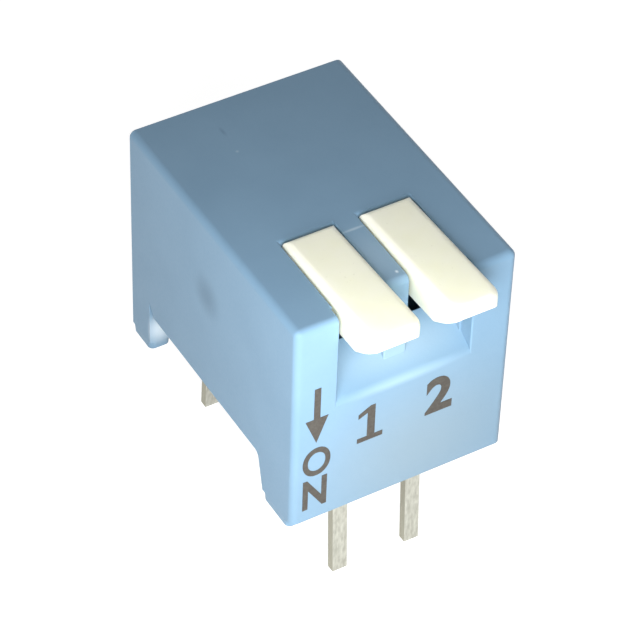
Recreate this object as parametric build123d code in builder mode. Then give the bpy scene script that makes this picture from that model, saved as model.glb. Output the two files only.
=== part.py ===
from build123d import *
from math import cos, radians, sin, sqrt, tan
import os

# A two-position DIP switch with rocker keys that are worked from the side, in millimetres.
# The origin is the middle of the four pins, on the plane of the board it stands on.
# X runs from position 1 to position 2, the marked front faces -Y, and the roof is at +Z.
# The keys are modelled up, which is off. Pressing a nose down turns its key to on.

# Board layout
positions = 2
pin_pitch = 2.54
row_spacing = 7.62
pin_length = 3.81

# Terminals, stamped from strip
strip_thickness = 0.28
strip_width = 1.1
pin_width = 0.5
inner_bend = 0.16
pin_point = 0.09
splay_angle = 3.0

# Housing shell
end_reach = 2.35
body_depth = 9.88
front_overhang = 1.31
shell_height = 7.7
standoff_height = 0.3
side_wall = 0.75
roof_thickness = 0.85
edge_round = 0.22
back_edge_round = 0.06

# Notch in the front and slots in the roof
slot_width = 1.8
slot_length = 3.5
notch_depth = 0.55
notch_height = 3.29
notch_margin = 0.06
ramp_angle = 35.0
sill_lip = 0.25
sill_round = 0.3
rim_round = 0.05
rear_rim_round = 0.15

# Arches in the side walls
arch_height = 1.3
arch_front_leg = 1.7
arch_back_leg = 1.16
arch_lean = 0.3
arch_round = 0.25
arch_wedge = 0.3
arch_wedge_rise = 0.45

# Standoff pads under the housing's corners
pad_corner = 0.2
pad_draft = 5.0

# Base and the resin below it
seal_thickness = 0.3
base_thickness = 0.95
moulding_fit = 0.04
strip_fit = 0.02

# Keys and their journals
key_clearance = 0.05
key_end_gap = 0.07
key_proud = 0.13
key_rise = 2.5
key_reach = 1.62
key_thickness = 1.03
nose_height = 0.43
nose_taper = 0.95
nose_round = 0.3
nose_corner = 0.5
key_edge_round = 0.22
key_travel = 18.0
stop_gap = 0.05
underside_length = 3.24
hub_radius = 0.85
arm_root_angle = 215.0
arm_crest_angle = 60.0
journal_radius = 0.45
journal_clearance = 0.04
journal_end_gap = 0.05
rib_reach = 1.3

# Share of the height between the contacts and the roof at which the keys pivot
pivot_share = 0.54

# Spring-loaded ball of each key
ball_radius = 0.45
ball_gap = 0.02
well_clearance = 0.02
well_wall = 0.2
lever_lip = 0.1
spring_seat = 0.3
wire_diameter = 0.12
wire_sides = 6
spring_coils = 5
contact_gap = 0.32

# Overrun of cuts, and how near an edge lies to the plane it is picked by
overrun = 1.0
touch = 0.01

# Places that follow from the sizes
centres = [(index - (positions - 1) / 2) * pin_pitch for index in range(positions)]
body_width = (positions - 1) * pin_pitch + 2 * end_reach
front_face = row_spacing / 2 + front_overhang
back_face = body_depth - front_face
shell_bottom = standoff_height
roof_top = shell_bottom + shell_height
roof_underside = roof_top - roof_thickness
cavity_width = body_width - 2 * side_wall
cavity_reach = row_spacing / 2 + strip_thickness / 2 + moulding_fit
partition = pin_pitch - slot_width
wall_side = end_reach - side_wall
side_rib = wall_side - slot_width / 2 - moulding_fit
notch_width = body_width - 2 * end_reach + slot_width + 2 * notch_margin
sill_z = roof_top - notch_height
sill_end = sill_lip - cavity_reach
slot_rear = slot_length - front_face
arch_z = shell_bottom + arch_height
base_bottom = arch_z + seal_thickness
base_top = base_bottom + base_thickness
contact_z = base_top + strip_thickness
pivot_z = contact_z + pivot_share * (roof_underside - contact_z)
lever_reach = pivot_z - contact_z - ball_gap - ball_radius
rib_bottom = base_top + strip_fit
journal_seat = journal_radius + journal_clearance
key_width = slot_width - 2 * key_clearance
lever_angle = key_travel / 2
on_reach = lever_reach * sin(radians(lever_angle))


def ramp_z(y):
    """Height of the notch's sloping floor at a depth y."""
    return sill_z + (y + front_face) * tan(radians(ramp_angle))


def edges_across(y, z):
    """Edges of the housing that run along X at a depth y and a height z."""
    across = housing.edges().filter_by(Axis.X)
    across = across.filter_by_position(Axis.Y, y - touch, y + touch)
    return across.filter_by_position(Axis.Z, z - touch, z + touch)


# Housing: one moulding, open below
with BuildPart() as housing:
    with BuildSketch(Plane.XY.offset(shell_bottom)):
        with Locations((0, (back_face - front_face) / 2)):
            Rectangle(body_width, body_depth)
    extrude(amount=shell_height)
    fillet(housing.edges().filter_by(Axis.Z).group_by(Axis.Y)[0], radius=edge_round)
    fillet(housing.faces().sort_by(Axis.Z)[-1].edges().sort_by(Axis.Y)[:-1], radius=edge_round)
    fillet(housing.faces().sort_by(Axis.Y)[-1].edges().sort_by(Axis.Z)[1:], radius=back_edge_round)

    with BuildSketch(Plane.XY.offset(shell_bottom)):
        Rectangle(cavity_width, 2 * cavity_reach)
    extrude(amount=roof_underside - shell_bottom, mode=Mode.SUBTRACT)

    # Partitions between the keys, and ribs on the side walls
    with BuildSketch(Plane.XY.offset(rib_bottom)):
        with Locations((0, -cavity_reach)):
            with GridLocations(pin_pitch, pin_pitch, positions - 1, 1):
                Rectangle(partition, cavity_reach + rib_reach, align=(Align.CENTER, Align.MIN))
        with GridLocations(cavity_width - side_rib, pin_pitch, 2, 1):
            Rectangle(side_rib, 2 * rib_reach)
    extrude(amount=roof_underside - rib_bottom)

    # Thicker front wall above the terminals, which the slots' floors run on to
    with BuildSketch(Plane.XY.offset(contact_z + strip_thickness)):
        with Locations((0, -cavity_reach)):
            Rectangle(cavity_width, sill_lip, align=(Align.CENTER, Align.MIN))
    extrude(amount=roof_underside - contact_z - strip_thickness)

    # Slots for the journals, open below
    with BuildSketch(Plane.YZ):
        with Locations((0, pivot_z)):
            Circle(journal_seat)
            Rectangle(2 * journal_seat, pivot_z - rib_bottom + touch, align=(Align.CENTER, Align.MAX))
    extrude(amount=cavity_width / 2, both=True, mode=Mode.SUBTRACT)

    # Notch across the front, down to a sloping floor
    with BuildSketch(Plane.YZ):
        with BuildLine():
            Polyline(
                (-front_face - overrun, ramp_z(-front_face - overrun)),
                (-front_face + notch_depth, ramp_z(-front_face + notch_depth)),
                (-front_face + notch_depth, roof_top + overrun),
                (-front_face - overrun, roof_top + overrun),
                close=True,
            )
        make_face()
    extrude(amount=notch_width / 2, both=True, mode=Mode.SUBTRACT)

    # Slots for the keys, through the roof and the front
    with BuildSketch(*[Plane.YZ.offset(x) for x in centres]):
        with BuildLine():
            Polyline(
                (-front_face, ramp_z(-front_face)),
                (sill_end, ramp_z(sill_end)),
                (slot_rear, ramp_z(sill_end)),
                (slot_rear, roof_top + overrun),
                (-front_face, roof_top + overrun),
                close=True,
            )
        make_face()
    extrude(amount=slot_width / 2, both=True, mode=Mode.SUBTRACT)

    # Arches through the side walls, with a wedge at the rear foot
    with BuildSketch(Plane.YZ) as arch:
        with BuildLine():
            Polyline(
                (-front_face + arch_front_leg, shell_bottom - overrun),
                (-front_face + arch_front_leg, shell_bottom),
                (-front_face + arch_front_leg + arch_lean, arch_z),
                (back_face - arch_back_leg - arch_wedge, arch_z),
                (back_face - arch_back_leg, arch_z + arch_wedge_rise),
                (back_face - arch_back_leg, shell_bottom - overrun),
                close=True,
            )
        make_face()
        upper = arch.vertices().filter_by_position(Axis.Y, arch_z, arch_z).sort_by(Axis.X)
        fillet(upper[0], radius=arch_round)
    extrude(amount=body_width / 2 + overrun, both=True, mode=Mode.SUBTRACT)

    # Standoff pads under the four legs, flush with the side walls
    with BuildSketch(Plane.XY.offset(shell_bottom)):
        with Locations((0, -front_face + arch_front_leg)):
            with GridLocations(body_width - side_wall, pin_pitch, 2, 1):
                front_pad = arch_front_leg - edge_round
                RectangleRounded(side_wall, front_pad, pad_corner, align=(Align.CENTER, Align.MAX))
        with Locations((0, back_face)):
            with GridLocations(body_width - side_wall, pin_pitch, 2, 1):
                RectangleRounded(side_wall, arch_back_leg, pad_corner, align=(Align.CENTER, Align.MAX))
    extrude(amount=-standoff_height, taper=pad_draft)

    # Rounder edges at the notch's sill, behind the keys and at the partition's front
    fillet(edges_across(-front_face, sill_z), radius=sill_round)
    fillet(edges_across(slot_rear, roof_top), radius=rear_rim_round)
    partition_reach = notch_width / 2 - notch_margin - touch
    partition_front = edges_across(notch_depth - front_face, roof_top)
    partition_front = partition_front.filter_by_position(Axis.X, -partition_reach, partition_reach)
    fillet(partition_front, radius=edge_round)

    # Softened rim all round the slots and the notch
    rim = housing.edges().filter_by_position(Axis.X, -notch_width / 2 - touch, notch_width / 2 + touch)
    roof_rim = rim.filter_by_position(Axis.Z, roof_top - touch, roof_top + touch)
    roof_rim = roof_rim.filter_by_position(Axis.Y, -front_face + edge_round - touch, slot_rear + touch)
    front_rim = rim.filter_by_position(Axis.Y, -front_face - touch, -front_face + touch)
    front_rim = front_rim.filter_by_position(Axis.Z, sill_z - touch, roof_top - edge_round + touch)
    corners = rim.filter_by(GeomType.CIRCLE).filter_by_position(Axis.Z, roof_top - edge_round, roof_top)
    corners = corners.filter_by_position(Axis.Y, -front_face, -front_face + edge_round)
    fillet(roof_rim + front_rim + corners, radius=rim_round)
housing.part.label = "housing"

# Base: closes the housing, with grooves for the terminals and posts under the journals
with BuildPart() as base:
    groove = strip_thickness + strip_fit
    base_reach = row_spacing / 2 + strip_thickness / 2
    with BuildSketch(Plane.XY.offset(base_bottom)):
        Rectangle(cavity_width - 2 * moulding_fit, 2 * base_reach)
        with GridLocations(pin_pitch, 2 * base_reach - groove, positions, 2):
            Rectangle(strip_width + 2 * strip_fit, groove, mode=Mode.SUBTRACT)
    extrude(amount=base_thickness)
    inner_reach = base_reach - groove
    shoulders = base.edges().filter_by(Axis.X).filter_by_position(Axis.Z, base_top - touch, base_top + touch)
    shoulders = shoulders.filter_by_position(Axis.Y, -inner_reach - touch, inner_reach + touch)
    fillet(shoulders, radius=inner_bend + strip_fit)
    with BuildSketch(Plane.XY.offset(base_top)):
        with GridLocations(pin_pitch, pin_pitch, positions - 1, 1):
            Rectangle(partition, 2 * (journal_seat - moulding_fit))
        with GridLocations(cavity_width - side_rib - moulding_fit, pin_pitch, 2, 1):
            Rectangle(side_rib - moulding_fit, 2 * (journal_seat - moulding_fit))
    extrude(amount=pivot_z - base_top)
    with BuildSketch(Plane.YZ):
        with Locations((0, pivot_z)):
            Circle(journal_seat)
    extrude(amount=cavity_width / 2, both=True, mode=Mode.SUBTRACT)
base.part.label = "base"

# Resin cast under the base, round the pins
with BuildPart() as bottom_seal:
    with BuildSketch(Plane.XY.offset(arch_z)):
        Rectangle(cavity_width - 2 * strip_fit, 2 * (cavity_reach - strip_fit))
        with GridLocations(pin_pitch, row_spacing, positions, 2):
            Rectangle(pin_width + 2 * strip_fit, strip_thickness + 2 * strip_fit, mode=Mode.SUBTRACT)
    extrude(amount=seal_thickness)
bottom_seal.part.label = "bottom_seal"

os.makedirs("parts", exist_ok=True)
export_step(housing.part, "parts/housing.step")
export_step(base.part, "parts/base.step")
export_step(bottom_seal.part, "parts/bottom_seal.step")

# Each position: a key with its spring and ball, and the two terminals that the ball bridges
top_rear = (slot_rear - key_end_gap, roof_top + key_proud)
nose_y = -front_face - key_reach
taper_y = nose_y + nose_taper
underside_y = nose_y + underside_length
well_radius = ball_radius + well_clearance
well_way = Vector(0, -sin(radians(lever_angle)), -cos(radians(lever_angle)))
coil_radius = ball_radius - wire_diameter / 2 - well_clearance
coil_start = wire_diameter - spring_seat
coil_end = lever_reach - sqrt((ball_radius + wire_diameter) ** 2 - coil_radius**2)


def key_top(y):
    """Height of the key's sloping top at a depth y."""
    return top_rear[1] + (top_rear[0] - y) * tan(radians(key_rise))


def on_hub(angle):
    """Point of the hub's rim, in the YZ plane, at an angle from +Y."""
    return (hub_radius * cos(radians(angle)), pivot_z + hub_radius * sin(radians(angle)))


for number, x in enumerate(centres, start=1):
    pivot = Vector(x, 0, pivot_z)
    left_reach = (wall_side if x == centres[0] else pin_pitch / 2) - journal_end_gap
    right_reach = (wall_side if x == centres[-1] else pin_pitch / 2) - journal_end_gap

    # Key: paddle, arm, hub and lever in one moulding
    with BuildPart() as key:
        with BuildSketch(Plane.YZ.offset(x)) as profile:
            with BuildLine():
                Polyline(
                    top_rear,
                    (nose_y, key_top(nose_y)),
                    (nose_y, key_top(nose_y) - nose_height),
                    (taper_y, key_top(taper_y) - key_thickness),
                    (underside_y, key_top(underside_y) - key_thickness),
                    on_hub(arm_root_angle),
                    on_hub(arm_crest_angle),
                    (top_rear[0], roof_underside - stop_gap),
                    close=True,
                )
            make_face()
            nose, taper = profile.vertices().group_by(Axis.X)[:2]
            fillet([nose.sort_by(Axis.Y)[0], taper[0]], radius=nose_round)
            with Locations((0, pivot_z)):
                Circle(hub_radius)
                Rectangle(
                    2 * (well_radius + well_wall),
                    lever_reach + lever_lip,
                    rotation=-lever_angle,
                    align=(Align.CENTER, Align.MAX),
                )
        extrude(amount=key_width / 2, both=True)
        with BuildSketch(Plane.XY.offset(base_top)) as plan:
            with Locations((x, nose_y)):
                Rectangle(key_width, -nose_y + 2 * hub_radius, align=(Align.CENTER, Align.MIN))
            fillet(plan.vertices().group_by(Axis.Y)[0], radius=nose_corner)
        extrude(amount=key_top(nose_y), mode=Mode.INTERSECT)
        top = key.faces().filter_by(GeomType.PLANE).sort_by(Axis.Z)[-1]
        fillet(top.edges(), radius=key_edge_round)
        with BuildSketch(Plane.YZ.offset(x - left_reach)):
            with Locations((0, pivot_z)):
                Circle(journal_radius)
        extrude(amount=left_reach + right_reach)
        with BuildSketch(Plane(origin=pivot - well_way * spring_seat, z_dir=well_way)):
            Circle(well_radius)
        extrude(amount=spring_seat + lever_reach + lever_lip + overrun, mode=Mode.SUBTRACT)
    key.part.label = f"key_{number}"

    # Coil spring in the key's well
    with BuildPart() as contact_spring:
        with BuildLine() as coil:
            Helix(
                pitch=(coil_end - coil_start) / spring_coils,
                height=coil_end - coil_start,
                radius=coil_radius,
                center=pivot + well_way * coil_start,
                direction=well_way,
            )
        with BuildSketch(Plane(origin=coil.line @ 0, z_dir=coil.line % 0)):
            RegularPolygon(wire_diameter / 2, wire_sides)
        sweep(path=coil.line, is_frenet=True)
    contact_spring.part.label = f"contact_spring_{number}"

    # Ball that the spring presses on to the terminals
    with BuildPart() as contact_ball:
        with Locations(pivot + well_way * lever_reach):
            Sphere(ball_radius)
    contact_ball.part.label = f"contact_ball_{number}"

    export_step(key.part, f"parts/key_{number}.step")
    export_step(contact_spring.part, f"parts/contact_spring_{number}.step")
    export_step(contact_ball.part, f"parts/contact_ball_{number}.step")

    # Terminals: a contact arm on the base, bent down into a pin that splays a little outwards
    splay = (shell_bottom + pin_length) * tan(radians(splay_angle))
    for side, row, way in (("front", -row_spacing / 2, -1), ("rear", row_spacing / 2, 1)):
        with BuildPart() as terminal:
            with BuildSketch(Plane.YZ.offset(x)):
                with BuildLine():
                    FilletPolyline(
                        (on_reach + way * contact_gap / 2, contact_z - strip_thickness / 2),
                        (row, contact_z - strip_thickness / 2),
                        (row, shell_bottom),
                        (row + way * splay, -pin_length),
                        radius=inner_bend + strip_thickness / 2,
                    )
                trace(line_width=strip_thickness)
            extrude(amount=strip_width / 2, both=True)
            with BuildSketch(Plane.XY.offset(base_bottom)):
                with Locations((x, row)):
                    Rectangle(strip_width + overrun, 2 * (splay + strip_thickness))
                    Rectangle(pin_width, 2 * (splay + strip_thickness), mode=Mode.SUBTRACT)
            extrude(amount=-base_bottom - pin_length - overrun, mode=Mode.SUBTRACT)
            chamfer(terminal.faces().sort_by(Axis.Z)[0].edges(), length=pin_point)
        terminal.part.label = f"{side}_terminal_{number}"
        export_step(terminal.part, f"parts/{side}_terminal_{number}.step")
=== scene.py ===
# %% [markdown]
# # A two-position DIP switch with piano keys
# The switch is a light blue moulded box, 7 mm wide, with two ivory rocker keys and four tinned pins.
# Its solids come from the CAD part, so Blender adds what the solids lack: finishes, marks, light, camera.
# Everything is in metres, in the CAD part's own frame, so nothing has to be fitted by eye.

# %% Load the solids
import math

import bmesh
import bpy
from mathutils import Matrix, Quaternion, Vector


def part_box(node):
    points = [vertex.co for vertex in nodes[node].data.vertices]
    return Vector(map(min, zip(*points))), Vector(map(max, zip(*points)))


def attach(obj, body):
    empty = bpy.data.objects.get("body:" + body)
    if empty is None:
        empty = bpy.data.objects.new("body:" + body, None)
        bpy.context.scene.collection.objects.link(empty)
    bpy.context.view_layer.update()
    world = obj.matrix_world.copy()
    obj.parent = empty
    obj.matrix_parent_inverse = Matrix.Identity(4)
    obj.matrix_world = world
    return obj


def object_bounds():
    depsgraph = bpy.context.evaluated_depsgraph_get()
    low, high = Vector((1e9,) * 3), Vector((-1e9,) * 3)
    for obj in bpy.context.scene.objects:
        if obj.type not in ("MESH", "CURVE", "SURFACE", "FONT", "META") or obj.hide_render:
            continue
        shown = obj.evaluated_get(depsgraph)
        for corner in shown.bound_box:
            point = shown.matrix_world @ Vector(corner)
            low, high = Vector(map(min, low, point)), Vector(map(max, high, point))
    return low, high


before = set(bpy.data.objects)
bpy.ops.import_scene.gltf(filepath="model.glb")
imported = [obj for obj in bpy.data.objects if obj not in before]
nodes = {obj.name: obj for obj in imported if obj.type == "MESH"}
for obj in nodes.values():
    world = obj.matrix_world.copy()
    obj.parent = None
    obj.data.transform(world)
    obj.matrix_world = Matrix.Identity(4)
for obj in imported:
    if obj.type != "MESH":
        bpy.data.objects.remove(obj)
cad_low, cad_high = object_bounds()
MM = 0.001
print("solids:", len(nodes), "box in mm:", [round(s / MM, 2) for s in cad_high - cad_low])

# %% [markdown]
# ## Two helpers for all finishes
# A designer writes a colour as a hex code, which is sRGB, while a shader wants linear light.
# One function turns the first into the second. A second function adds a node, sets its options and
# wires its inputs, so that each finish below reads as a short list of steps.

# %% Colour and node helpers


def linear(code):
    """The linear colour, with alpha 1, of an sRGB hex code."""
    shades = [int(code[at : at + 2], 16) / 255 for at in (1, 3, 5)]
    return [s / 12.92 if s <= 0.04045 else ((s + 0.055) / 1.055) ** 2.4 for s in shades] + [1.0]


def add(tree, kind, wires=None, **options):
    """A new node of a kind: options are its settings, wires its inputs' values or the outputs they come from."""
    node = tree.nodes.new(kind)
    for name, value in options.items():
        setattr(node, name, value)
    for socket, value in (wires or {}).items():
        if isinstance(value, bpy.types.NodeSocket):
            tree.links.new(value, node.inputs[socket])
        else:
            node.inputs[socket].default_value = value
    return node


print("white is", linear("#FFFFFF"))

# %% [markdown]
# ## Starting a finish
# Every finish here is a Principled shader with its patterns placed by Object coordinates.
# Those are lengths on the part itself, so a pattern's size is a real size, and it rides with its piece.

# %% Start a material


def finish(name, colour, roughness, **sockets):
    """A material with a plain colour and roughness, its shader, and the place on the piece in metres."""
    material = bpy.data.materials.new(name)
    material.use_nodes = True
    tree = material.node_tree
    shader = tree.nodes["Principled BSDF"]
    shader.inputs["Base Color"].default_value = linear(colour)
    shader.inputs["Roughness"].default_value = roughness
    for socket, value in sockets.items():
        shader.inputs[socket.replace("_", " ")].default_value = value
    place = add(tree, "ShaderNodeTexCoord").outputs["Object"]
    return material, tree, shader, place


def per_metre(size_mm):
    """Texture scale that gives a pattern whose features are size_mm across."""
    return 1 / (size_mm * MM)


print("a 0.1 mm grain has scale", per_metre(0.1))

# %% [markdown]
# ## The housing: PBT, moulded in a spark-eroded tool
# The box is a glass-filled polyester, coloured right through. The tool leaves a fine, even grain that keeps
# it from shining, and the melt's flow leaves clouds that are hardly lighter or darker.
# The grain could be modelled, but it is a few hundredths of a millimetre, so it is bump and roughness.

# %% Blue plastic
PBT_IOR = 1.56
FLOW_MM = 1.9
GRAIN_MM = 0.11  # the real grain is finer, and wouldn't show at this size of picture

blue, tree, shader, place = finish(
    "pbt_moulded_light_blue", "#7595AE", 0.46, IOR=PBT_IOR, Specular_IOR_Level=0.35
)
clouds = add(tree, "ShaderNodeTexNoise", {"Vector": place, "Scale": per_metre(FLOW_MM), "Detail": 3.0})
grain = add(tree, "ShaderNodeTexNoise", {"Vector": place, "Scale": per_metre(GRAIN_MM), "Detail": 2.0})
flow = add(tree, "ShaderNodeMix", {"Factor": clouds.outputs["Fac"]}, data_type="RGBA")
flow.inputs["A"].default_value = linear("#7090A9")
flow.inputs["B"].default_value = linear("#7A9AB3")
body_colour = flow.outputs["Result"]
print("flow clouds", FLOW_MM, "mm, grain", GRAIN_MM, "mm")

# %% [markdown]
# ### Marks on the housing, some of them painted light
# Each side wall has a darker oval in its middle. The notch's floor and the strip between the slots get a
# paler tone, which is painted light standing in for the light they catch. A pale line where two inserts meet
# is a real step with a painted highlight, and the sill's rounded lip has a painted highlight too. The rear
# feet carry a painted glare, the front is greyer low down, and the roof has a scratch, a pit and a nick.
# Each mark could be painted as an image, but a soft oval around a point is simpler and never looks blurred.

# %% Oval marks


def oval(tree, place, centre_mm, reach_mm):
    """1 in the middle of an oval on the part, fading to 0 at its reach along each axis."""
    moved = add(tree, "ShaderNodeVectorMath", {0: place, 1: Vector(centre_mm) * MM}, operation="SUBTRACT")
    shares = Vector([per_metre(r) for r in reach_mm])
    scaled = add(tree, "ShaderNodeVectorMath", {0: moved.outputs[0], 1: shares}, operation="MULTIPLY")
    reach = add(tree, "ShaderNodeVectorMath", {0: scaled.outputs[0]}, operation="LENGTH")
    fade = add(tree, "ShaderNodeMapRange", {"Value": reach.outputs["Value"], "From Min": 1.0, "From Max": 0.0})
    fade.interpolation_type = "SMOOTHSTEP"
    return fade.outputs["Result"]


shell_low, shell_high = [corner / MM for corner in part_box("housing")]
roof_z = shell_high.z
MARKS = {
    # name: centre in mm, reach along each axis in mm, shade, strength
    # darker ovals in the middle of each side wall
    "left side darker oval": ((shell_low.x, 0.0, 5.26), (0.5, 0.95, 1.0), "#5C7A90", 0.8),
    "right side darker oval": ((shell_high.x, 0.0, 5.26), (0.5, 0.95, 1.0), "#5C7A90", 0.8),
    # a real step where two inserts meet, with a painted highlight along it
    "insert step painted highlight": ((0.0, -2.09, roof_z), (0.62, 0.08, 0.1), "#B0C5D3", 0.8),
    "scratch": ((-1.21, 3.43, roof_z), (0.09, 0.3, 0.1), "#5A7890", 0.5),
    "pit": ((-1.27, 2.44, roof_z), (0.08, 0.08, 0.1), "#9DB4C4", 0.7),
    # painted light: a paler tone on the strip between the slots, for the light it catches
    "strip painted light": ((0.0, -3.4, roof_z), (1.1, 1.9, 0.3), "#8FAABE", 0.75),
    # a greyer, less blue tone over the lower front
    "greyer lower front": ((0.6, shell_low.y, 1.6), (5.5, 0.4, 4.5), "#7E93A1", 0.9),
    # painted light: a paler notch floor, for the light that reaches it under the keys
    "notch floor painted light": ((0.3, -4.4, 5.2), (3.2, 1.1, 1.0), "#8FAABE", 1.0),
    # painted highlight along the sill's rounded lip
    "sill painted highlight": ((0.0, shell_low.y + 0.05, 4.62), (2.5, 0.45, 0.24), "#92AEC2", 0.8),
    # painted glare on the front faces of the rear feet, on both sides
    "left foot painted glare": ((-3.2, 3.55, 0.85), (0.75, 0.3, 0.9), "#D6E4ED", 1.0),
    "right foot painted glare": ((3.2, 3.55, 0.85), (0.75, 0.3, 0.9), "#D6E4ED", 1.0),
    "nick": ((0.15, -4.2, roof_z), (0.07, 0.09, 0.1), "#DCE8EF", 0.9),
}
print("marks on the housing:", ", ".join(MARKS))

# %% Put the marks into the blue
for centre_mm, reach_mm, shade, strength in MARKS.values():
    spot = oval(tree, place, centre_mm, reach_mm)
    factor = add(tree, "ShaderNodeMath", {0: spot, 1: strength}, operation="MULTIPLY")
    tint = add(tree, "ShaderNodeMix", {"Factor": factor.outputs[0]}, data_type="RGBA")
    tree.links.new(body_colour, tint.inputs["A"])
    tint.inputs["B"].default_value = linear(shade)
    body_colour = tint.outputs["Result"]
tree.links.new(body_colour, shader.inputs["Base Color"])
print("marks put into", blue.name)

# %% [markdown]
# ### The housing's grain
# The tool's spark-eroded face prints a fine, even roughness on the plastic. One noise pattern drives both
# the gloss and a slight relief, because on the real surface they are the same pits.

# %% Grain on the housing
GRAIN_DEPTH_MM = 0.012

dull = add(tree, "ShaderNodeMapRange", {"Value": grain.outputs["Fac"], "To Min": 0.40, "To Max": 0.54})
tree.links.new(dull.outputs["Result"], shader.inputs["Roughness"])
relief = add(tree, "ShaderNodeBump", {"Height": grain.outputs["Fac"], "Strength": 0.25})
relief.inputs["Distance"].default_value = GRAIN_DEPTH_MM * MM
tree.links.new(relief.outputs["Normal"], shader.inputs["Normal"])
nodes["housing"].data.materials[0] = blue
print("housing finish:", blue.name)

# %% [markdown]
# ## The keys: PBT, moulded in a polished tool
# The two keys are ivory and smoother than the box, because fingers slide on them. Light enters a little way
# and comes back, which softens their edges, so the shader has a shallow subsurface layer. It reaches as deep
# in red, green and blue, since unequal depths would draw coloured fringes along the edges.

# %% Ivory plastic
HAZE_MM = 0.7
POLISH_MM = 0.16  # the real polishing marks are finer, and wouldn't show
LIGHT_DEPTH_MM = 0.7

ivory, tree, shader, place = finish(
    "pbt_moulded_ivory", "#FAFAE1", 0.3, IOR=PBT_IOR, Subsurface_Weight=0.6, Subsurface_Scale=LIGHT_DEPTH_MM * MM
)
shader.inputs["Subsurface Radius"].default_value = (1.0, 1.0, 1.0)
haze = add(tree, "ShaderNodeTexNoise", {"Vector": place, "Scale": per_metre(HAZE_MM), "Detail": 2.0})
cream = add(tree, "ShaderNodeMix", {"Factor": haze.outputs["Fac"]}, data_type="RGBA")
cream.inputs["A"].default_value = linear("#F8F8DC")
cream.inputs["B"].default_value = linear("#FCFCE6")
tree.links.new(cream.outputs["Result"], shader.inputs["Base Color"])
polish = add(tree, "ShaderNodeTexNoise", {"Vector": place, "Scale": per_metre(POLISH_MM), "Detail": 2.0})
gloss = add(tree, "ShaderNodeMapRange", {"Value": polish.outputs["Fac"], "To Min": 0.24, "To Max": 0.36})
tree.links.new(gloss.outputs["Result"], shader.inputs["Roughness"])
for name in ("key_1", "key_2"):
    nodes[name].data.materials[0] = ivory
print("keys finish:", ivory.name)

# %% [markdown]
# ## The terminals: bronze strip, tin-plated
# The strip is plated and then stamped, so its broad faces have a soft, warm grey-white sheen with faint
# streaks along the strip, while its cut edges, which face sideways, show the darker bare bronze.
# The streaks are a noise pattern stretched along the pin, and the edges are picked by the way they face.

# %% Plating with streaks along the pin
STREAK_MM = 0.09  # wider than real streaks, so that they show
STRETCH = (1.0, 1.0, 0.3)

tin, tree, shader, place = finish("bronze_strip_tin_plated", "#BBBAAF", 0.36, Metallic=1.0)
long_way = add(tree, "ShaderNodeMapping", {"Vector": place, "Scale": STRETCH})
streaks = add(tree, "ShaderNodeTexNoise", {"Vector": long_way.outputs[0], "Scale": per_metre(STREAK_MM)})
patchy = add(tree, "ShaderNodeMapRange", {"Value": streaks.outputs["Fac"], "From Min": 0.3, "From Max": 0.7})
plating = add(tree, "ShaderNodeMix", {"Factor": patchy.outputs["Result"]}, data_type="RGBA")
plating.inputs["A"].default_value = linear("#ABAA9F")
plating.inputs["B"].default_value = linear("#CCCCC1")
print("streaks", STREAK_MM, "mm wide")

# %% Bare bronze on the cut edges
facing = add(tree, "ShaderNodeSeparateXYZ", {"Vector": add(tree, "ShaderNodeTexCoord").outputs["Normal"]})
sideways = add(tree, "ShaderNodeMath", {0: facing.outputs["X"]}, operation="ABSOLUTE")
cut = add(tree, "ShaderNodeMapRange", {"Value": sideways.outputs[0], "From Min": 0.6, "From Max": 0.9})
strip = add(tree, "ShaderNodeMix", {"Factor": cut.outputs["Result"]}, data_type="RGBA")
tree.links.new(plating.outputs["Result"], strip.inputs["A"])
strip.inputs["B"].default_value = linear("#9A9888")
tree.links.new(strip.outputs["Result"], shader.inputs["Base Color"])
print("cut edges face X")

# %% Sheen of the strip
STREAK_DEPTH_MM = 0.01

sheen = add(tree, "ShaderNodeMapRange", {"Value": streaks.outputs["Fac"], "To Min": 0.28, "To Max": 0.5})
tree.links.new(sheen.outputs["Result"], shader.inputs["Roughness"])
drawn = add(tree, "ShaderNodeBump", {"Height": streaks.outputs["Fac"], "Strength": 0.3})
drawn.inputs["Distance"].default_value = STREAK_DEPTH_MM * MM
tree.links.new(drawn.outputs["Normal"], shader.inputs["Normal"])
for name in nodes:
    if "terminal" in name:
        nodes[name].data.materials[0] = tin
print("terminals finish:", tin.name)

# %% [markdown]
# ## What closes the box from below
# The base is moulded dark, with a matt grain, and black epoxy is cast round the pins to keep flux out. Cast
# resin shrinks as it sets, so its face is glossy and slightly wavy. The waves could be modelled, but they
# are so shallow that a broad bump gives the same broken gloss.

# %% Base and resin
WAVE_MM = 1.2
WAVE_DEPTH_MM = 0.06

carrier, tree, shader, place = finish("pbt_moulded_dark_grey", "#202328", 0.55, IOR=PBT_IOR)
fleck = add(tree, "ShaderNodeTexNoise", {"Vector": place, "Scale": per_metre(GRAIN_MM), "Detail": 2.0})
matt = add(tree, "ShaderNodeMapRange", {"Value": fleck.outputs["Fac"], "To Min": 0.48, "To Max": 0.62})
tree.links.new(matt.outputs["Result"], shader.inputs["Roughness"])
nodes["base"].data.materials[0] = carrier

resin, tree, shader, place = finish("epoxy_cast_black", "#1F2023", 0.22, IOR=1.55)
wave = add(tree, "ShaderNodeTexNoise", {"Vector": place, "Scale": per_metre(WAVE_MM), "Detail": 2.0})
swell = add(tree, "ShaderNodeBump", {"Height": wave.outputs["Fac"], "Strength": 0.4})
swell.inputs["Distance"].default_value = WAVE_DEPTH_MM * MM
tree.links.new(swell.outputs["Normal"], shader.inputs["Normal"])
nodes["bottom_seal"].data.materials[0] = resin
print("finishes below:", carrier.name, resin.name)

# %% [markdown]
# ## What makes the contact
# The spring is drawn stainless wire, and the ball is gold-plated so that it makes contact at a light touch.
# Both hide inside the box, so an uneven gloss is all that they need.

# %% Spring and ball
DRAWING_MM = 0.05
WASH_MM = 0.2

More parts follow.
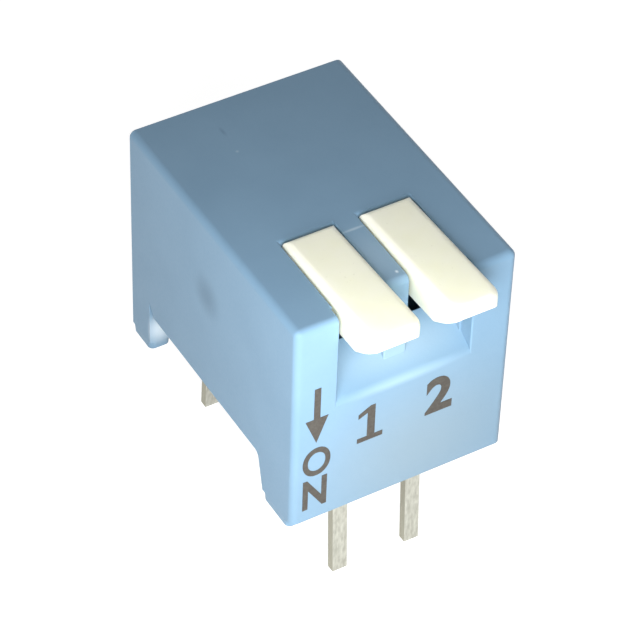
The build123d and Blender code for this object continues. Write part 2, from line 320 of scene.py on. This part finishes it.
wire, tree, shader, place = finish("stainless_wire_drawn", "#B9B9B6", 0.3, Metallic=1.0)
lines = add(tree, "ShaderNodeTexNoise", {"Vector": place, "Scale": per_metre(DRAWING_MM), "Detail": 2.0})
drawing = add(tree, "ShaderNodeMapRange", {"Value": lines.outputs["Fac"], "To Min": 0.22, "To Max": 0.4})
tree.links.new(drawing.outputs["Result"], shader.inputs["Roughness"])

gold, tree, shader, place = finish("brass_ball_gold_plated", "#E5C57A", 0.2, Metallic=1.0)
tarnish = add(tree, "ShaderNodeTexNoise", {"Vector": place, "Scale": per_metre(WASH_MM), "Detail": 2.0})
wash = add(tree, "ShaderNodeMapRange", {"Value": tarnish.outputs["Fac"], "To Min": 0.14, "To Max": 0.28})
tree.links.new(wash.outputs["Result"], shader.inputs["Roughness"])
for number in ("1", "2"):
    nodes["contact_spring_" + number].data.materials[0] = wire
    nodes["contact_ball_" + number].data.materials[0] = gold
print("inner finishes:", wire.name, gold.name)

# %% [markdown]
# ## The marks on the front: burnt in by a laser
# A laser beam chars and lifts the plastic's skin a few micrometres, which leaves grey-brown strokes with
# an uneven tone. They could be an image on the face, but a film of geometry stays sharp at any distance.

# %% Laser mark finish
CHAR_MM = 0.1  # the real specks of char are finer
CHAR_DEPTH_MM = 0.01

burnt, tree, shader, place = finish("pbt_laser_marked_grey_brown", "#46423D", 0.7, IOR=1.5)
char = add(tree, "ShaderNodeTexNoise", {"Vector": place, "Scale": per_metre(CHAR_MM), "Detail": 3.0})
scorch = add(tree, "ShaderNodeMix", {"Factor": char.outputs["Fac"]}, data_type="RGBA")
scorch.inputs["A"].default_value = linear("#37312C")
scorch.inputs["B"].default_value = linear("#55534E")
tree.links.new(scorch.outputs["Result"], shader.inputs["Base Color"])
blister = add(tree, "ShaderNodeBump", {"Height": char.outputs["Fac"], "Strength": 0.4})
blister.inputs["Distance"].default_value = CHAR_DEPTH_MM * MM
tree.links.new(blister.outputs["Normal"], shader.inputs["Normal"])
print("mark finish:", burnt.name)

# %% [markdown]
# ### From an outline to a film on the front
# Every mark starts as a flat mesh. It is stretched into its measured box on the front face and made 0.01 mm
# thick, which is enough to keep it clear of the plastic. It rides on the housing's body.

# %% Set a flat outline on the front face
FILM_MM = 0.01
WELD_LIMIT = 1e-6


def on_front(name, mesh, box_mm):
    """Stretches a flat mesh in XY to box_mm, which is x low, x high, z low, z high, as a film on the front."""
    points = [v.co for v in mesh.vertices]
    low = Vector((min(p.x for p in points), min(p.y for p in points), 0))
    high = Vector((max(p.x for p in points), max(p.y for p in points), 0))
    x_low, x_high, z_low, z_high = box_mm
    shape = bmesh.new()
    shape.from_mesh(mesh)
    bmesh.ops.remove_doubles(shape, verts=shape.verts, dist=WELD_LIMIT)
    for vert in shape.verts:
        x = x_low + (vert.co.x - low.x) / (high.x - low.x) * (x_high - x_low)
        z = z_low + (vert.co.y - low.y) / (high.y - low.y) * (z_high - z_low)
        vert.co = Vector((x, shell_low.y, z)) * MM
    sides = bmesh.ops.extrude_face_region(shape, geom=shape.faces[:])
    for vert in [g for g in sides["geom"] if isinstance(g, bmesh.types.BMVert)]:
        vert.co.y -= FILM_MM * MM
    bmesh.ops.recalc_face_normals(shape, faces=shape.faces)
    for face in shape.faces:
        face.smooth = False
    shape.to_mesh(mesh)
    shape.free()
    mesh.materials.clear()
    mesh.materials.append(burnt)
    piece = bpy.data.objects.new(name, mesh)
    bpy.context.scene.collection.objects.link(piece)
    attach(piece, "switch_body")
    print(piece.name, len(mesh.polygons), "faces")


print("film of", FILM_MM, "mm on the front at", round(shell_low.y, 2))

# %% [markdown]
# ### Letters and the figure 2
# These have curves, so they come from Blender's text objects, with the strokes fattened a little.
# Drawing the curves by hand would take longer and look less even.

# %% Letters and the figure 2
LETTERS = {
    # name: text, box on the front in mm, how much fatter than the font's strokes
    "mark_letter_o": ("O", (-3.29, -2.37, 2.08, 3.21), 0.02),
    "mark_letter_n": ("N", (-3.26, -2.46, 0.76, 1.96), 0.03),
    "mark_figure_2": ("2", (0.80, 1.71, 2.74, 4.15), 0.035),
}
for name, (letter, box_mm, fatten) in LETTERS.items():
    text = bpy.data.curves.new(name, "FONT")
    text.body = letter
    text.offset = fatten
    holder = bpy.data.objects.new(name + "_text", text)
    bpy.context.scene.collection.objects.link(holder)
    bpy.context.view_layer.update()
    outline = bpy.data.meshes.new_from_object(holder.evaluated_get(bpy.context.evaluated_depsgraph_get()))
    bpy.data.objects.remove(holder)
    on_front(name, outline, box_mm)

# %% [markdown]
# ### Arrow and the figure 1
# The arrow has straight sides, and this figure 1 has a foot that the font's own lacks. Both are a few
# corners, so they are listed point by point, as shares of their boxes.

# %% Arrow and the figure 1
OUTLINES = {
    # name: corners in shares of the box, box on the front in mm
    "mark_arrow": (
        ((0.36, 1.0), (0.64, 1.0), (0.64, 0.45), (1.0, 0.45), (0.5, 0.0), (0.0, 0.45), (0.36, 0.45)),
        (-3.24, -2.49, 3.43, 5.60),
    ),
    "mark_figure_1": (
        (
            ((0.0, 0.0), (1.0, 0.0), (1.0, 0.13), (0.68, 0.13), (0.68, 1.0), (0.5, 1.0))
            + ((0.02, 0.84), (0.02, 0.71), (0.38, 0.82), (0.38, 0.13), (0.0, 0.13))
        ),
        (-1.49, -0.64, 2.70, 4.08),
    ),
}
for name, (points, box_mm) in OUTLINES.items():
    sketch = bpy.data.meshes.new(name)
    sketch.from_pydata([(x, y, 0) for x, y in points], [], [list(range(len(points)))])
    on_front(name, sketch, box_mm)

# %% [markdown]
# ## Camera
# The photograph was taken from above the front left corner with a long lens. The camera's place came
# from matching the box's corners to the picture, so it is typed in here, with its small lean to one side.

# %% Place the camera
LENS_MM = 180.48
SENSOR_MM = 36
NEAREST_MM = 1
LEAN_DEG = 2.093

camera_spot = Vector((-36.354, -59.460, 69.032)) * MM
aim = Vector((0.194, -0.1195, 2.682)) * MM
camera_data = bpy.data.cameras.new("camera")
camera_data.lens = LENS_MM
camera_data.sensor_width = SENSOR_MM
camera_data.clip_start = NEAREST_MM * MM
camera = bpy.data.objects.new("camera", camera_data)
camera.location = camera_spot
camera.rotation_mode = "QUATERNION"
gaze = (aim - camera_spot).to_track_quat("-Z", "Y")
camera.rotation_quaternion = gaze @ Quaternion((0, 0, 1), math.radians(LEAN_DEG))
bpy.context.scene.collection.objects.link(camera)
bpy.context.scene.camera = camera
print("camera", round((camera_spot - aim).length / MM, 1), "mm away")

# %% [markdown]
# ## White surroundings
# The picture's background is white, but light from a white room all round would wash out the shading.
# A ray knows how it got here, so the floor and the world can look white to the eye, and in mirrors and
# glass, and still send little light to the part.

# %% What the eye sees apart from what lights the part


def seen(tree):
    """1 for rays from the camera, mirrored or through glass, and 0 for those that carry light."""
    ray = add(tree, "ShaderNodeLightPath")
    direct = {0: ray.outputs["Is Camera Ray"], 1: ray.outputs["Is Glossy Ray"]}
    both = add(tree, "ShaderNodeMath", direct, operation="MAXIMUM")
    through = {0: both.outputs[0], 1: ray.outputs["Is Transmission Ray"]}
    return add(tree, "ShaderNodeMath", through, operation="MAXIMUM").outputs[0]


print("rays told apart: camera, glossy, transmission")

# %% [markdown]
# ## Floor
# The floor is a sheet of matt paper at the pins' tips. To the eye it glows, less near the part, where its
# own shading has to keep the soft shadow, and fully white further out, so that no horizon shows.

# %% Paper
NEAR_GLOW, FAR_GLOW = 0.78, 1.0
FAR_MM = 50.0

paper = bpy.data.materials.new("paper_matt_white")
paper.use_nodes = True
tree = paper.node_tree
shader = tree.nodes["Principled BSDF"]
shader.inputs["Base Color"].default_value = linear("#B4B4B2")
shader.inputs["Roughness"].default_value = 0.9
shader.inputs["Specular IOR Level"].default_value = 0.0
shader.inputs["Emission Color"].default_value = linear("#FFFFFF")
spot = oval(tree, add(tree, "ShaderNodeTexCoord").outputs["Object"], (0, 0, 0), (FAR_MM, FAR_MM, FAR_MM))
lift = add(tree, "ShaderNodeMapRange", {"Value": spot, "To Min": FAR_GLOW, "To Max": NEAR_GLOW})
glow = add(tree, "ShaderNodeMath", {0: seen(tree), 1: lift.outputs["Result"]}, operation="MULTIPLY")
tree.links.new(glow.outputs[0], shader.inputs["Emission Strength"])
print("floor finish:", paper.name)

# %% Floor sheet
FLOOR_HALF = 0.6

sheet = bpy.data.meshes.new("floor")
corners = [(-FLOOR_HALF, -FLOOR_HALF), (FLOOR_HALF, -FLOOR_HALF), (FLOOR_HALF, FLOOR_HALF), (-FLOOR_HALF, FLOOR_HALF)]
sheet.from_pydata([(x, y, cad_low.z) for x, y in corners], [], [(0, 1, 2, 3)])
sheet.materials.append(paper)
floor = bpy.data.objects.new("floor", sheet)
bpy.context.scene.collection.objects.link(floor)
print("floor at", round(cad_low.z / MM, 2), "mm")

# %% [markdown]
# ## Light from all round
# A studio's walls send a little light back into the shadows. The world does the same here: it looks white,
# and lights the part only faintly.

# %% Surrounding light
AIR_LIGHT = 0.08

world = bpy.data.worlds.new("studio")
bpy.context.scene.world = world
world.use_nodes = True
tree = world.node_tree
air = tree.nodes["Background"]
level = add(tree, "ShaderNodeMapRange", {"Value": seen(tree), "To Min": AIR_LIGHT, "To Max": 1.0})
tree.links.new(level.outputs["Result"], air.inputs["Strength"])
air.inputs["Color"].default_value = linear("#FFFFFF")
print("world:", world.name)

# %% [markdown]
# ## Soft boxes
# In the photograph the front is bright, and the roof and the side fade towards the back, which only a near
# lamp does. So one small box stands close in front, and two far ones fill the left and the back. They are
# hidden from mirror rays, because their mirror images would be blots of glare on the plastic: the white
# surroundings give the sheen instead.

# %% Soft boxes
BOXES = {
    # name: direction round the part, height angle, distance and side in metres, level on a facing surface
    "front_box": (-26.0, 24.6, 0.025, 0.020, 2.2),
    "rear_left_box": (-132.0, 20.0, 0.25, 0.12, 0.4),
    "rear_right_box": (130.0, 3.0, 0.25, 0.15, 0.7),
}
middle = (cad_low + cad_high) / 2
for name, (azimuth, height, distance, side, level) in BOXES.items():
    lamp = bpy.data.lights.new(name, "AREA")
    lamp.shape = "SQUARE"
    lamp.size = side
    lamp.energy = level * math.pi**2 * distance**2  # level 1 lights a facing surface as a white world would
    a, e = math.radians(azimuth), math.radians(height)
    way = Vector((math.sin(a) * math.cos(e), -math.cos(a) * math.cos(e), math.sin(e)))
    box = bpy.data.objects.new(name, lamp)
    box.location = middle + way * distance
    box.rotation_mode = "QUATERNION"
    box.rotation_quaternion = (-way).to_track_quat("-Z", "Y")
    box.visible_camera = False
    box.visible_glossy = False
    bpy.context.scene.collection.objects.link(box)
    print(name, round(lamp.energy, 5), "W")

# %% [markdown]
# ## Picture settings
# The Standard view shows colours as they are written.

# %% Picture settings
bpy.context.scene.view_settings.view_transform = "Standard"
